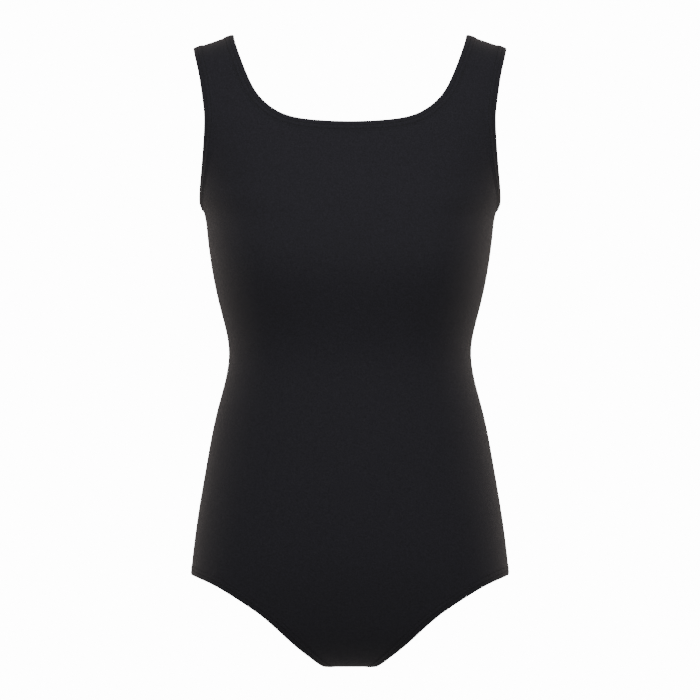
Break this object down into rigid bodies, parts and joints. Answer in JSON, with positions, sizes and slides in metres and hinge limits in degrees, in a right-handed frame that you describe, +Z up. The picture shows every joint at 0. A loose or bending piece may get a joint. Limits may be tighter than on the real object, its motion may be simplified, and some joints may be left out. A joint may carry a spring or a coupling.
{
  "type": "gymnastics leotard",
  "caption": "Sleeveless scoop-neck gymnastics leotard in black stretch jersey, filled out as worn, with turned elastic hems, seams, gusset lining and blank labels.",
  "frame": {"origin": "on the garment's centre plane, level with the tops of the shoulder straps and on the line of the shoulder seams", "axes": "+Z up along the wearer's trunk, -Y the wearer's front, +X the wearer's left"},
  "size_m": [0.3184, 0.2277, 0.6322],
  "materials": {
    "jersey": "matt black cotton and elastane jersey",
    "lining": "matt black fine cotton jersey",
    "elastic": "matt ribbed swimwear elastic, charcoal",
    "overlock": "matt black overlocked edge",
    "label": "white satin tape, blank"
  },
  "bodies": {
    "garment": {"front_panel": "jersey", "back_panel": "jersey", "gusset_lining": "lining", "crotch_seam": "overlock", "neckline_hem": "jersey", "neckline_elastic": "elastic", "left_armhole_hem": "jersey", "left_armhole_elastic": "elastic", "right_armhole_hem": "jersey", "right_armhole_elastic": "elastic", "left_leg_hem": "jersey", "left_leg_elastic": "elastic", "right_leg_hem": "jersey", "right_leg_elastic": "elastic", "left_side_seam": "overlock", "left_shoulder_seam": "overlock", "right_side_seam": "overlock", "right_shoulder_seam": "overlock"},
    "size_label": {"size_label": "label"},
    "care_label": {"care_label": "label"}
  },
  "joints": [
    {"name": "size_label_flip", "type": "hinge", "parent": "garment", "child": "size_label", "pos_m": [0, 0.09068, -0.17005], "axis": [-1, 0, 0], "range_deg": [0, 150]},
    {"name": "care_label_flip", "type": "hinge", "parent": "garment", "child": "care_label", "pos_m": [0.11763, 0, -0.31798], "axis": [0, 0, 1], "range_deg": [0, 140]}
  ]
}
